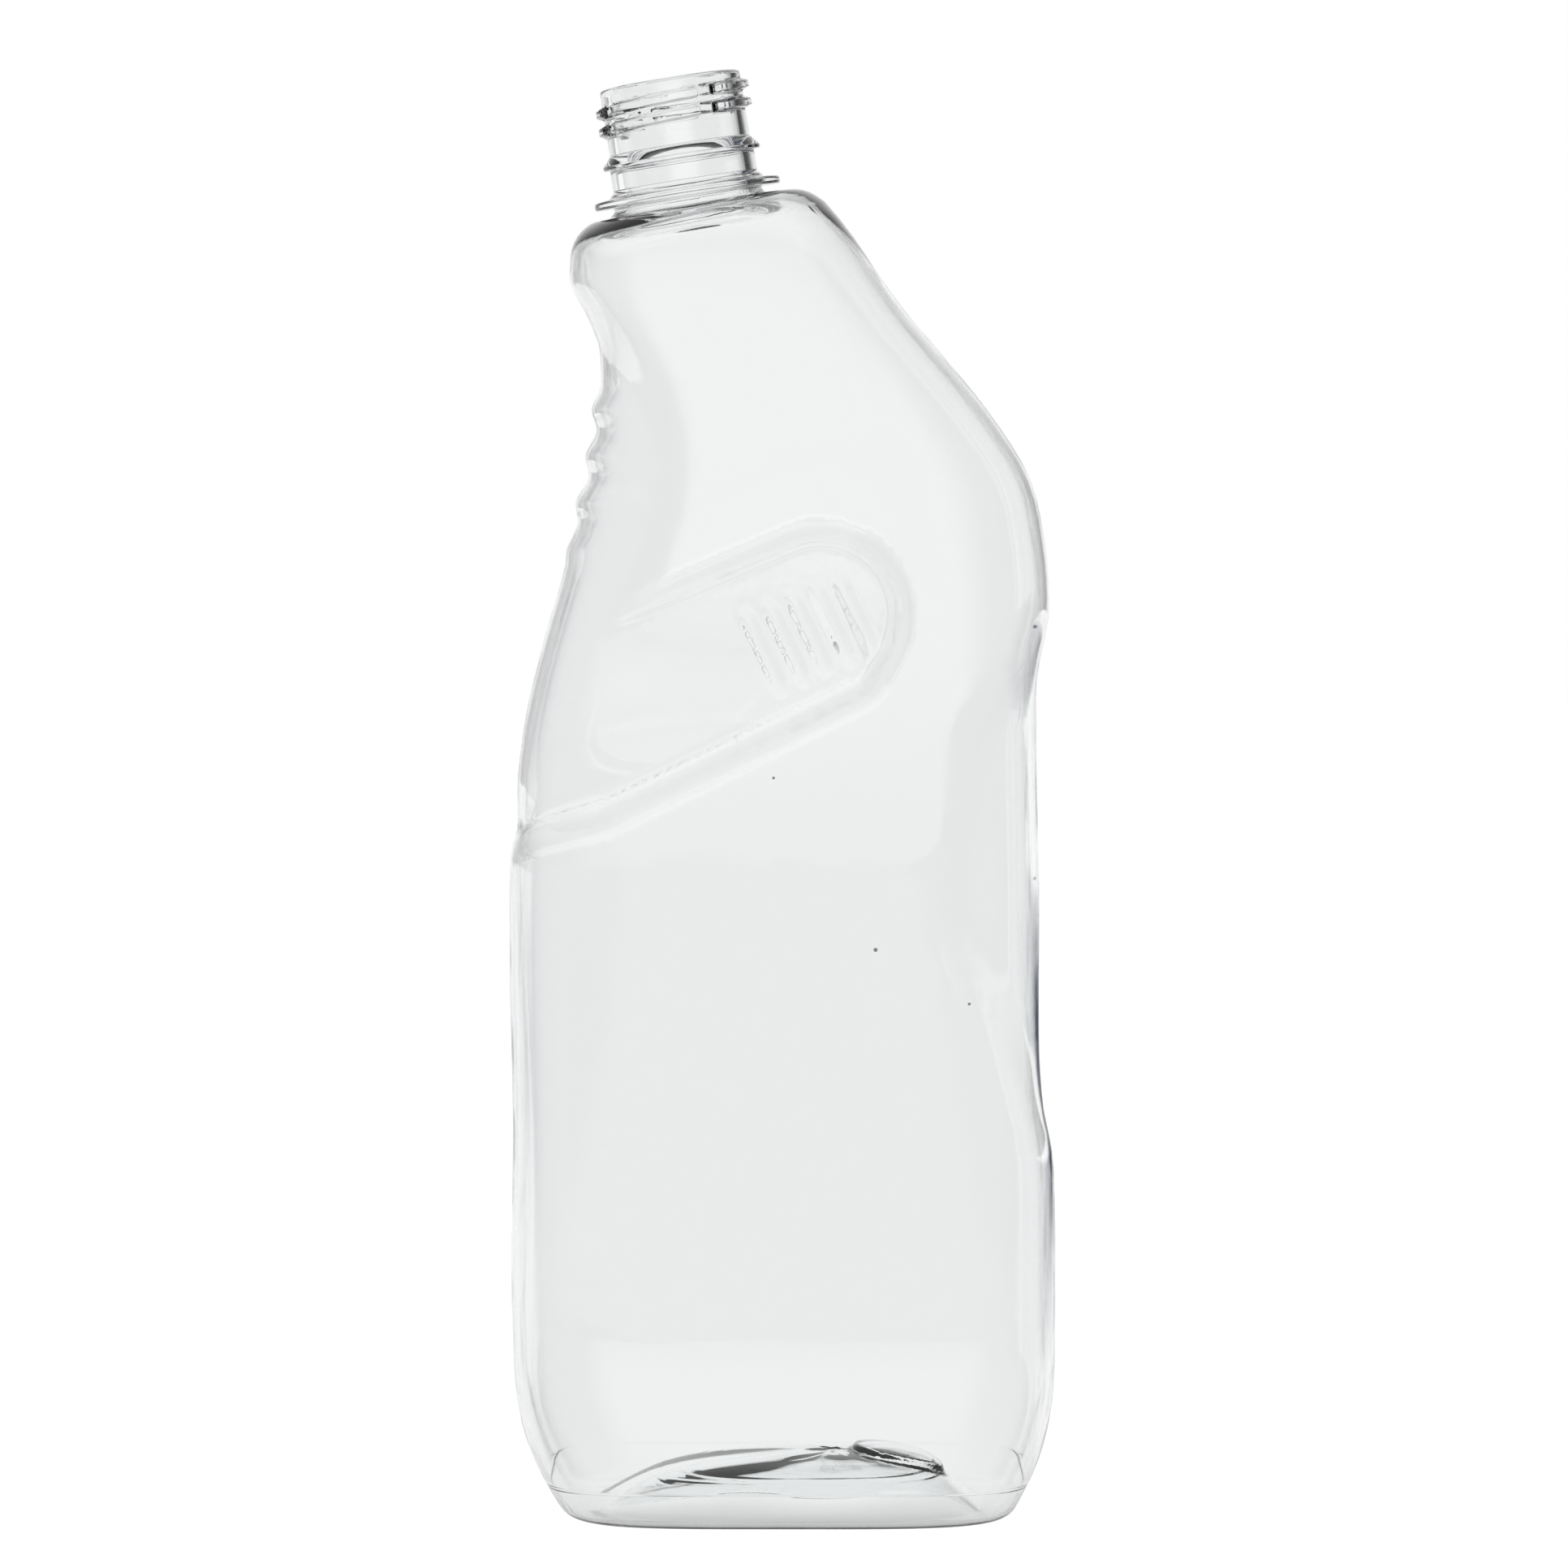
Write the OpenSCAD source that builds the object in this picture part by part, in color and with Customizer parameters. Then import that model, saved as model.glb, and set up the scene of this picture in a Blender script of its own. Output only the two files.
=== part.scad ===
// Clear PET bottle for a liquid household product, stretch-blown in one piece.
// Its neck leans and stands off centre, and its walls are pressed in on both sides for the hand.
// The bottle stands on its foot ring at Z = 0. X runs across its width and Y through its depth.

/* [Body] */
// Width across the label panel
body_w = 96; // [90:1:102]
// Depth from front wall to back wall
body_d = 64; // [60:1:70]
// Height of the support ledge's underside, on the neck's axis
body_h = 232.5; // [228:0.5:240]
// Thickness of the blown wall
wall = 0.5; // [0.4:0.05:0.6]
// How round the body's corners are: 2 is an ellipse, and more is squarer
corner = 5; // [4:0.25:7]

/* [Base] */
// Height of the push-up in the middle of the base
push_up = 9; // [6:0.5:11]
// Height at which the heel reaches the full width
heel_h = 30; // [26:1:36]
// How far the heel draws in on each side, down to the foot
heel_in = 8; // [7:0.5:9]
// Diameter of the thick disc on the push-up, where the preform was filled
gate_d = 17; // [14:0.5:19]
// Height of that disc above the wall round it
gate_h = 1.2; // [0.8:0.1:1.6]

/* [Grip] */
// Height of the grip, from the step above the label panel up to the ledge
grip_h = 116; // [112:0.5:120]
// Depth of the thumb slot in each broad wall
slot_deep = 6; // [4.5:0.5:7]
// Slope of the slot, upwards from the mouth side
slot_rise = 23; // [21:1:25]
// Width of the sloping wall round the slot and the finger rest
bevel = 3.2; // [2.5:0.1:4]
// Number of ribs across the slot's round end
ribs = 5; // [4:1:6]
// Distance from rib to rib
rib_pitch = 4.3; // [4:0.1:4.6]
// Height of a rib above the floor of the slot
rib_h = 0.6; // [0.5:0.1:0.8]
// Number of finger bumps on the mouth side
bumps = 4; // [3:1:4]
// Distance from bump to bump
bump_pitch = 8.1; // [7.6:0.1:8.4]
// Height of a bump above the wall of the grip
bump_h = 1.3; // [0.9:0.1:1.6]
// Depth of the hollow on the heel side, in each broad wall
hollow_deep = 3; // [2:0.5:4]

/* [Neck] */
// Angle by which the neck leans towards the mouth side
lean = 9; // [7:0.5:10]
// Distance of the neck's axis from the middle of the body, at the ledge
neck_off = 16.7; // [15.5:0.1:18]
// Height from the ledge's underside to the rim
neck_h = 21; // [20:0.1:22]
// Diameter of the bore
bore_d = 21.74; // [21.4:0.02:22]
// Diameter of the neck wall between the threads
root_d = 24.94; // [24.6:0.02:25.2]
// Diameter over the tamper bead
bead_d = 28; // [27.7:0.1:28.4]
// Diameter of the support ledge
ledge_d = 33; // [32:0.2:34]
// Thickness of the support ledge at its edge
ledge_t = 1.5; // [1.2:0.1:2]
// Height of the bead's flat underside over the ledge's
bead_at = 6.9; // [6.6:0.1:7.2]

/* [Hidden] */

pet = [0.82, 0.9, 0.9];

// Half the width and half the depth of the body
hw = body_w / 2;
hd = body_d / 2;

// Height of the step where the label panel ends and the grip begins
label_top = body_h - grip_h;

// The neck's own frame has its origin on the neck's axis, level with the ledge's underside
axis_x = -sin(lean);
axis_z = cos(lean);
function on_neck(x, h) = [x * axis_z + h * axis_x - neck_off, h * axis_z - x * axis_x + body_h];

// One rung of the body's skin: its mouth-side end and heel-side end in the front view,
// half its depth, the squareness of its section, and the wall there as a multiple of wall
function rung(left, right, half_d, square, thick) =
    [left.x, left.y, right.x, right.y, half_d, square, thick];
function level(z, left_x, right_x, half_d, square, thick) =
    rung([left_x, z], [right_x, z], half_d, square, thick);

// A rung set out from the ledge: x from the neck's axis, and the drop below the ledge
function shoulder(left_x, left_drop, right_x, right_drop, half_d, square, thick) =
    rung([left_x - neck_off, body_h - left_drop], [right_x - neck_off, body_h - right_drop],
        half_d, square, thick);
function round_rung(r, h, thick) = rung(on_neck(-r, h), on_neck(r, h), r, 2, thick);

// The ring in which the blown body ends under the ledge
joint_r = 13.2;
joint_h = -0.4;
joint_inner_r = 11.6;
skirt_r = 13.7;
skirt_h = joint_h - 0.25;
joint_thick = (joint_r - joint_inner_r) / wall;

// Half the width and half the depth of the foot ring, and the middle of the push-up
foot_x = hw - heel_in - 4;
foot_y = hd - 8;
dome_x = 9;

skin_rungs = [
    level(push_up, dome_x - 3, dome_x + 3, 3, 2, 3),
    level(push_up * 0.94, dome_x - 14, dome_x + 12, 10, 2.2, 2.4),
    level(push_up * 0.62, -foot_x + 13, foot_x - 8, foot_y - 8, 2.8, 1.8),
    level(push_up * 0.16, -foot_x + 5, foot_x - 3, foot_y - 4.4, 3.4, 1.5),
    level(0, -foot_x + 3, foot_x - 0.8, foot_y - 2.8, 3.8, 1.5),
    level(0, -foot_x, foot_x + 2.2, foot_y, 4, 1.4),
    level(1.2, -foot_x - 2.8, foot_x + 4.8, foot_y + 2.6, 4.2, 1.3),
    level(heel_h * 0.15, -hw + heel_in - 0.9, hw - heel_in + 2.6, hd - 4, corner - 0.6, 1.3),
    level(heel_h * 0.31, -hw + heel_in * 0.58, hw - heel_in * 0.4, hd - 2.6, corner - 0.3, 1.2),
    level(heel_h * 0.54, -hw + heel_in * 0.26, hw - heel_in * 0.15, hd - 1.2, corner, 1.1),
    level(heel_h * 0.77, -hw + heel_in * 0.1, hw - heel_in * 0.02, hd - 0.4, corner, 1),
    level(heel_h, -hw + 0.4, hw + 0.1, hd, corner, 1),
    level((heel_h + label_top) / 2, -hw + 0.4, hw - 0.3, hd, corner, 1),
    level(label_top - 1.5, -hw - 0.1, hw - 0.7, hd, corner, 1),
    level(label_top + 17, -hw + 1, hw - 0.8, hd - 0.4, corner, 1),
    shoulder(-28.6, 80.5, 63.6, 80, hd - 1.2, corner, 1),
    shoulder(-26.8, 63, 62.9, 62, hd - 2.4, corner - 0.2, 1),
    shoulder(-25.2, 49.5, 60, 49, hd - 3.8, corner - 0.4, 1),
    shoulder(-23.5, 38, 53.2, 38, hd - 5.2, corner - 0.6, 1),
    shoulder(-21.9, 27.5, 44.8, 27.6, hd - 6.9, corner - 0.9, 1),
    shoulder(-21, 19.5, 38, 19.6, hd - 8.4, corner - 1.2, 1),
    shoulder(-20.8, 13, 33.2, 13, hd - 9.7, corner - 1.5, 1.1),
    shoulder(-20.4, 8.7, 30, 8, hd - 10.9, 3.1, 1.3),
    shoulder(-19, 6.1, 26.9, 3.9, 19.6, 2.7, 1.8),
    shoulder(-17.2, 4.6, 24.2, 0.6, 17.9, 2.4, 2.4),
    rung(on_neck(-16.4, -1.7), on_neck(20, -1.5), 16, 2.2, 2.8),
    round_rung(14.2, -1.4, 3),
    round_rung(joint_r + 0.1, -1.2, joint_thick),
    round_rung(joint_r, joint_h, joint_thick)
];

// The narrower body that the hand holds, at the bottom of the thumb slots and finger rests
grip_rungs = [
    level(label_top - 14, -hw + 1.2, hw - 4, hd - slot_deep, corner - 0.6, 1),
    level(label_top + 1, -hw + 1.2, hw - 4, hd - slot_deep, corner - 0.6, 1),
    level(body_h - 103, -hw + 1.2, hw - 4, hd - slot_deep, corner - 0.6, 1),
    shoulder(-29.2, 94.5, 60, 94.5, hd - slot_deep, corner - 0.6, 1),
    shoulder(-25.6, 78.7, 60, 78.7, hd - slot_deep, corner - 0.8, 1),
    shoulder(-22.2, 67, 60, 67, hd - slot_deep, corner - 0.9, 1),
    shoulder(-19.1, 56, 58, 56, hd - slot_deep - 0.6, corner - 1, 1),
    shoulder(-17, 47, 54, 47, hd - slot_deep - 2, corner - 1.1, 1),
    shoulder(-15.7, 38, 50, 38, hd - slot_deep - 3.6, corner - 1.2, 1),
    shoulder(-15.3, 28.5, 42, 28.5, hd - slot_deep - 5, corner - 1.3, 1),
    shoulder(-17.2, 19.3, 36, 19.3, hd - slot_deep - 6.4, corner - 1.5, 1),
    shoulder(-21.6, 10, 30, 10, hd - slot_deep - 7.6, corner - 1.7, 1)
];
grip_steps = [1, 1, 1, 1, 2, 6, 5, 5, 5, 2, 2];

// The narrower body at the bottom of the hollows on the heel side
hollow_rungs = [
    level(label_top - 56, -hw, hw + 0.2, hd - hollow_deep, corner - 0.4, 1),
    level(label_top - 50, -hw, hw - 1, hd - hollow_deep, corner - 0.4, 1),
    level(label_top - 46, -hw, hw - 2.2, hd - hollow_deep, corner - 0.4, 1),
    level(label_top - 38, -hw, hw - 2.6, hd - hollow_deep, corner - 0.4, 1),
    level(label_top - 2, -hw, hw - 2.9, hd - hollow_deep, corner - 0.4, 1),
    level(label_top + 21, -hw, hw - 3.4, hd - hollow_deep - 0.4, corner - 0.4, 1),
    level(label_top + 39, -hw, hw - 3.1, hd - hollow_deep - 1, corner - 0.4, 1),
    level(label_top + 43, -hw, hw - 1.8, hd - hollow_deep - 1.2, corner - 0.4, 1),
    level(label_top + 47, -hw, hw - 0.2, hd - hollow_deep - 1.4, corner - 0.4, 1)
];

// Finger bumps: a row of round beads down the mouth side, the highest at this height
bump_top = body_h - 37;
function bump(z) =
    let (i = round((bump_top - z) / bump_pitch), off = (bump_top - i * bump_pitch - z) / bump_pitch)
    i < 0 || i >= bumps ? 0 : bump_h * (i == bumps - 1 ? 0.5 : 1) * pow(cos(180 * off), 2);
function bumped(r) = [r[0] - bump(r[1]), r[1], r[2], r[3], r[4], r[5], r[6]];

// Catmull-Rom curve through a list of rungs, with the number of steps from each to the next
function at(list, i) = list[max(0, min(len(list) - 1, i))];
function blend(a, b, c, d, t) =
    0.5 * (2 * b + (c - a) * t + (2 * a - 5 * b + 4 * c - d) * t * t + (3 * b - a - 3 * c + d) * t * t * t);
function smooth(list, steps) = concat(
    [for (i = [0 : len(list) - 2], k = [0 : steps[i] - 1])
        blend(at(list, i - 1), at(list, i), at(list, i + 1), at(list, i + 2), k / steps[i])],
    [list[len(list) - 1]]);

// Points round a rung's section, which is a superellipse, from the heel side
sides = 28;
function power(v, p) = sign(v) * pow(abs(v), p);
function on_rung(r, angle) =
    let (c = power(cos(angle), 2 / r[5]), s = power(sin(angle), 2 / r[5]))
    [(r[0] + r[2]) / 2 + (r[2] - r[0]) / 2 * c, r[4] * s, max(0, (r[1] + r[3]) / 2 + (r[3] - r[1]) / 2 * c)];
function ring(r) = [for (j = [0 : sides - 1]) on_rung(r, 360 * j / sides)];

// The same rings moved inwards, square to the surface, by a share of the wall
function unit(v) = v / norm(v);
function normal_at(rings, i, j) = unit(cross(
    rings[i][(j + 1) % sides] - rings[i][(j + sides - 1) % sides],
    at(rings, i + 1)[j] - at(rings, i - 1)[j]));
function inset(rings, rungs, depth) = [for (i = [0 : len(rings) - 1])
    [for (j = [0 : sides - 1]) rings[i][j] - depth * rungs[i][6] * normal_at(rings, i, j)]];

// A closed solid through a list of rings
module skinned(rings) {
    top = len(rings) - 1;
    polyhedron(
        points = [for (r = rings, p = r) p],
        faces = concat(
            [[for (j = [0 : sides - 1]) j]],
            [for (i = [0 : top - 1], j = [0 : sides - 1], half = [0, 1])
                let (a = i * sides + j, b = i * sides + (j + 1) % sides)
                half == 0 ? [a, a + sides, b] : [b, a + sides, b + sides]],
            [[for (j = [sides - 1 : -1 : 0]) top * sides + j]]),
        convexity = 8);
}

// The skin through some rungs, inset by a depth, and carried on along the neck by a reach
module skin(rungs, depth, reach) {
    rings = [for (r = rungs) ring(r)];
    moved = depth > 0 ? inset(rings, rungs, depth) : rings;
    beyond = [for (p = at(moved, len(moved))) p + reach * [axis_x, 0, axis_z]];
    skinned(reach > 0 ? concat(moved, [beyond]) : moved);
}

module on_both_walls() {
    children();
    mirror([0, 1, 0])
    children();
}

// A pressed-in area of both walls: its outline at the surface narrows by a bevel down to its floor.
// What it takes away ends at the narrower body below it.
module pressed(surface_y, floor_y, narrower) {
    translate([0, hd, 0])
    rotate([90, 0, 0])
    linear_extrude(2 * hd)
    offset(delta = -narrower)
    children();
    on_both_walls()
    hull() {
        translate([0, -surface_y, 0])
        rotate([90, 0, 0])
        linear_extrude(5)
        children();
        translate([0, -floor_y, 0])
        rotate([90, 0, 0])
        linear_extrude(1)
        offset(delta = -narrower)
        children();
    }
}

// Outlines of the pressed-in areas in the front view: each is a tight band round some discs,
// given as [x, z, radius]. The slot's discs are set out along its slope, from its round end.
slot_x = 9;
slot_z = label_top + 41.5;
slot_discs = [
    [-1.5, 2.6, 15],
    [-0.3, -9.1, 5],
    [-50, -11.8, 5],
    [-70, -9.1, 5],
    [-70, 12.6, 5]
];
finger_discs = [
    [-37.3 - neck_off, body_h - 47, 37],
    [-43.3 - neck_off, body_h - 70, 35]
];
hollow_discs = [
    [hw - 5.5, label_top - 9.5, 14.5],
    [hw + 6, label_top - 58, 6],
    [hw - 4, label_top + 18.5, 14],
    [hw + 12, label_top + 38, 14]
];

module band(discs) {
    hull()
    for (d = discs)
        translate([d.x, d.y])
        circle(r = d.z, $fn = 36);
}

// Ribs of round section, sunk in the slot's floor
module slot_ribs(depth) {
    rib_w = rib_pitch * 0.4;
    rib_r = (rib_w * rib_w + rib_h * rib_h) / (2 * rib_h);
    for (i = [0 : ribs - 1])
        translate([slot_x, -hd + slot_deep - rib_h + rib_r, slot_z])
        rotate([0, -slot_rise, 0])
        translate([4 - i * rib_pitch, 0, 0])
        rotate([0, -3, 0])
        hull() {
            translate([0, 0, -7])
            sphere(r = rib_r - depth, $fn = 8);
            translate([0, 0, 8.5])
            sphere(r = rib_r - depth, $fn = 8);
        }
}

module blown_form(depth) {
    reach = depth > 0 ? 2 : 0;
    difference() {
        skin(smooth(skin_rungs, [for (r = skin_rungs) 2]), depth, reach);
        difference() {
            union() {
                pressed(hd, hd - slot_deep, bevel)
                offset(delta = depth)
                translate([slot_x, slot_z])
                rotate(slot_rise)
                band(slot_discs);
                pressed(hd - 4, hd - slot_deep - 4, bevel)
                offset(delta = depth)
                band(finger_discs);
            }
            skin([for (r = smooth(grip_rungs, grip_steps)) bumped(r)], depth, 0);
        }
        difference() {
            pressed(hd - 0.4, hd - hollow_deep - 0.4, 2)
            offset(delta = depth)
            band(hollow_discs);
            skin(smooth(hollow_rungs, [for (r = hollow_rungs) 2]), depth, 0);
        }
    }
    on_both_walls()
    slot_ribs(depth);
}

// The thick disc of unstretched material in the push-up, on the neck's axis, seen from inside
module gate_disc() {
    difference() {
        translate([body_h * tan(lean) - neck_off, 0, 0])
        cylinder(d = gate_d, h = 2 * push_up, $fn = 24);
        translate([0, 0, gate_h])
        blown_form(wall);
    }
}

module blown_body() {
    color(pet)
    difference() {
        blown_form(0);
        difference() {
            blown_form(wall);
            gate_disc();
        }
    }
}

module neck_finish() {
    below_bead_r = root_d / 2 + 0.4;
    ledge_slope = 1;
    bead_edge = 0.5;
    bead_slope = 1.6;
    rim_bevel = 0.6;
    color(pet)
    translate([-neck_off, 0, body_h])
    rotate([0, -lean, 0])
    rotate_extrude($fn = 96)
    polygon([
        [bore_d / 2, skirt_h],
        [skirt_r, skirt_h],
        [skirt_r, 0],
        [ledge_d / 2, 0],
        [ledge_d / 2, ledge_t],
        [below_bead_r, ledge_t + ledge_slope],
        [below_bead_r, bead_at],
        [bead_d / 2, bead_at],
        [bead_d / 2, bead_at + bead_edge],
        [root_d / 2, bead_at + bead_edge + bead_slope],
        [root_d / 2, neck_h - rim_bevel],
        [root_d / 2 - rim_bevel, neck_h],
        [bore_d / 2, neck_h]
    ]);
}

blown_body();  // bottle
neck_finish();  // bottle
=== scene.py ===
import math

import bpy
import numpy as np
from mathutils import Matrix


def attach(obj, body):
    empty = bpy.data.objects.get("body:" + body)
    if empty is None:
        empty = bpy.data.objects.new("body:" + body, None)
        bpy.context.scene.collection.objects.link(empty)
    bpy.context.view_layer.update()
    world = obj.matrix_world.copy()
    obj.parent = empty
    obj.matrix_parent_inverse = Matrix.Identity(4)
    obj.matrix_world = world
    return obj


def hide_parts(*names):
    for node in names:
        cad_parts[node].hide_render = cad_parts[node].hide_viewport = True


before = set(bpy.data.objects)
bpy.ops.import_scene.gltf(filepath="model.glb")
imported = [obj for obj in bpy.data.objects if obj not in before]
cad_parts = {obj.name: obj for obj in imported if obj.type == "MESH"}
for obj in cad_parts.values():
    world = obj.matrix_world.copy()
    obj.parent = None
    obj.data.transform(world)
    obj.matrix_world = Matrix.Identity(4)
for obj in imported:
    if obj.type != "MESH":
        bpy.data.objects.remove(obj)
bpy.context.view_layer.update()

# The bottle: clear PET, stretch-blown in one piece from an injection-moulded preform.
# The preform's neck stays as it was moulded, and the thin walls below it take the shape of the
# mould: a heel and push-up below, a thumb slot and finger rest on each side, and a hollow behind.

MM = 0.001

# Driving sizes, in millimetres, as in the solid model
HALF_WIDTH = 48.0
HALF_DEPTH = 32.0
LEDGE_Z = 232.5
NECK_OFF = 16.7
LEAN = math.radians(9.0)
WALL = 0.5
CORNER = 5.0
PUSH_UP = 9.0
HEEL_H = 30.0
HEEL_IN = 8.0
LABEL_TOP = 116.5
SLOT_DEEP = 6.0
HOLLOW_DEEP = 3.0
DOME_X = 9.0
BORE_R = 10.87
JOINT_R = 13.2
JOINT_H = -0.4

AXIS = np.array([-math.sin(LEAN), 0.0, math.cos(LEAN)])
FOOT_X = HALF_WIDTH - HEEL_IN - 4.0
FOOT_Y = HALF_DEPTH - 8.0


def on_neck(x, h):
    """A front-view point of the neck's own frame, whose origin is on its axis under the ledge."""
    return (x * AXIS[2] + h * AXIS[0] - NECK_OFF, h * AXIS[2] - x * AXIS[0] + LEDGE_Z)


def rung(left, right, half_d, square, thick):
    """One section of the body: its two ends in the front view, half its depth, squareness, wall."""
    return (left[0], left[1], right[0], right[1], half_d, square, thick)


def level(z, left_x, right_x, half_d, square, thick):
    return rung((left_x, z), (right_x, z), half_d, square, thick)


def shoulder(left_x, left_drop, right_x, right_drop, half_d, square, thick):
    return rung((left_x - NECK_OFF, LEDGE_Z - left_drop), (right_x - NECK_OFF, LEDGE_Z - right_drop),
                half_d, square, thick)


def round_rung(r, h, thick):
    return rung(on_neck(-r, h), on_neck(r, h), r, 2.0, thick)


# The rungs of the body's skin, from the middle of the push-up to the ring under the ledge
HW, HD, C = HALF_WIDTH, HALF_DEPTH, CORNER
JOINT_THICK = (JOINT_R - BORE_R) / WALL
skin_rungs = np.array([
    level(PUSH_UP, DOME_X, DOME_X, 0.0, 2.0, 3.0),
    level(PUSH_UP, DOME_X - 4, DOME_X + 4, 3.4, 2.0, 3.0),
    level(PUSH_UP * 0.94, DOME_X - 14, DOME_X + 12, 10, 2.2, 2.4),
    level(PUSH_UP * 0.62, -FOOT_X + 13, FOOT_X - 8, FOOT_Y - 8, 2.8, 1.8),
    level(PUSH_UP * 0.16, -FOOT_X + 5, FOOT_X - 3, FOOT_Y - 4.4, 3.4, 1.5),
    level(0, -FOOT_X + 3, FOOT_X - 0.8, FOOT_Y - 2.8, 3.8, 1.5),
    level(0, -FOOT_X, FOOT_X + 2.2, FOOT_Y, 4, 1.4),
    level(1.2, -FOOT_X - 2.8, FOOT_X + 4.8, FOOT_Y + 2.6, 4.2, 1.3),
    level(HEEL_H * 0.15, -HW + HEEL_IN - 0.9, HW - HEEL_IN + 2.6, HD - 4, C - 0.6, 1.3),
    level(HEEL_H * 0.31, -HW + HEEL_IN * 0.58, HW - HEEL_IN * 0.4, HD - 2.6, C - 0.3, 1.2),
    level(HEEL_H * 0.54, -HW + HEEL_IN * 0.26, HW - HEEL_IN * 0.15, HD - 1.2, C, 1.1),
    level(HEEL_H * 0.77, -HW + HEEL_IN * 0.1, HW - HEEL_IN * 0.02, HD - 0.4, C, 1),
    level(HEEL_H, -HW + 0.4, HW + 0.1, HD, C, 1),
    level(72, -HW + 0.4, HW - 0.3, HD, C, 1),
    level(LABEL_TOP - 1.5, -HW - 0.1, HW - 0.7, HD, C, 1),
    level(LABEL_TOP + 17, -HW + 1, HW - 0.8, HD - 0.4, C, 1),
    shoulder(-28.6, 80.5, 63.6, 80, HD - 1.2, C, 1),
    shoulder(-26.8, 63, 62.9, 62, HD - 2.4, C - 0.2, 1),
    shoulder(-25.2, 49.5, 60, 49, HD - 3.8, C - 0.4, 1),
    shoulder(-23.5, 38, 53.2, 38, HD - 5.2, C - 0.6, 1),
    shoulder(-21.9, 27.5, 44.8, 27.6, HD - 6.9, C - 0.9, 1),
    shoulder(-21, 19.5, 38, 19.6, HD - 8.4, C - 1.2, 1),
    shoulder(-20.8, 13, 33.2, 13, HD - 9.7, C - 1.5, 1.1),
    shoulder(-20.4, 8.7, 30, 8, HD - 10.9, 3.1, 1.3),
    shoulder(-19, 6.1, 26.9, 3.9, 19.6, 2.7, 1.8),
    shoulder(-17.2, 4.6, 24.2, 0.6, 17.9, 2.4, 2.4),
    rung(on_neck(-16.4, -1.7), on_neck(20, -1.5), 16, 2.2, 2.8),
    round_rung(14.2, -1.4, 3.4),
    round_rung(JOINT_R + 0.1, -1.2, JOINT_THICK),
    round_rung(JOINT_R, JOINT_H, JOINT_THICK),
])


def curve(table, t):
    """Catmull-Rom curve through the rows of a table, at the row numbers t."""
    i = np.clip(np.floor(t).astype(int), 0, len(table) - 2)
    k = (t - i)[:, None]
    a = table[np.maximum(i - 1, 0)]
    b = table[i]
    c = table[i + 1]
    d = table[np.minimum(i + 2, len(table) - 1)]
    return 0.5 * (2 * b + (c - a) * k + (2 * a - 5 * b + 4 * c - d) * k ** 2
                  + (3 * b - a - 3 * c + d) * k ** 3)


ROW_STEP = 0.7
EVENINGS = 8


def evened(table, size):
    """Close rows on the curve through a table's rows, whose first size values place them, evened out."""
    at = np.concatenate([[0], np.cumsum(np.linalg.norm(np.diff(table[:, :size], axis=0), axis=1))])
    slope = np.gradient(table, at, axis=0)
    s = np.linspace(0, at[-1], round(at[-1] / ROW_STEP) + 1)
    i = np.clip(np.searchsorted(at, s, side="right") - 1, 0, len(at) - 2)
    h = (at[i + 1] - at[i])[:, None]
    k = (s - at[i])[:, None] / h
    rows = ((2 * k ** 3 - 3 * k ** 2 + 1) * table[i] + (3 * k ** 2 - 2 * k ** 3) * table[i + 1]
            + (k ** 3 - 2 * k ** 2 + k) * h * slope[i] + (k ** 3 - k ** 2) * h * slope[i + 1])
    rows = np.clip(rows, table.min(axis=0), table.max(axis=0))
    for turn in range(EVENINGS):
        rows[1:-1] += 0.25 * (rows[:-2] - 2 * rows[1:-1] + rows[2:])
    return rows


fine_rungs = evened(skin_rungs, 5)
SKIN_T = float(len(fine_rungs) - 1)

# The narrower body under the hand: height, its left end, and how much less deep it is
grip_side = evened(np.array([
    (LABEL_TOP - 16, -HW + 1.2, SLOT_DEEP),
    (LABEL_TOP + 1, -HW + 1.2, SLOT_DEEP),
    (LABEL_TOP + 13, -HW + 1.2, SLOT_DEEP),
    (LEDGE_Z - 94.5, -29.2 - NECK_OFF, SLOT_DEEP - 0.6),
    (LEDGE_Z - 78.7, -25.6 - NECK_OFF, SLOT_DEEP - 1.2),
    (LEDGE_Z - 67, -22.2 - NECK_OFF, SLOT_DEEP - 2.2),
    (LEDGE_Z - 56, -19.1 - NECK_OFF, SLOT_DEEP - 2.6),
    (LEDGE_Z - 47, -17 - NECK_OFF, SLOT_DEEP - 2.6),
    (LEDGE_Z - 38, -15.7 - NECK_OFF, SLOT_DEEP - 2.6),
    (LEDGE_Z - 28.5, -15.3 - NECK_OFF, SLOT_DEEP - 2.6),
    (LEDGE_Z - 19.3, -17.2 - NECK_OFF, SLOT_DEEP - 3.2),
    (LEDGE_Z - 13.5, -20.6 - NECK_OFF, SLOT_DEEP - 4.6),
    (LEDGE_Z - 10, -21.6 - NECK_OFF, 0.0),
]), 3)

# The body beside the hollow on the heel side: height, its right end, and how much less deep it is
hollow_side = evened(np.array([
    (LABEL_TOP - 58, HW + 0.6, HOLLOW_DEEP),
    (LABEL_TOP - 50, HW - 1, HOLLOW_DEEP),
    (LABEL_TOP - 46, HW - 2.2, HOLLOW_DEEP),
    (LABEL_TOP - 38, HW - 2.6, HOLLOW_DEEP),
    (LABEL_TOP - 2, HW - 2.9, HOLLOW_DEEP),
    (LABEL_TOP + 21, HW - 3.4, HOLLOW_DEEP),
    (LABEL_TOP + 39, HW - 3.1, HOLLOW_DEEP - 0.4),
    (LABEL_TOP + 43, HW - 1.8, HOLLOW_DEEP - 0.4),
    (LABEL_TOP + 47, HW - 0.2, HOLLOW_DEEP - 0.4),
]), 3)


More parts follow.
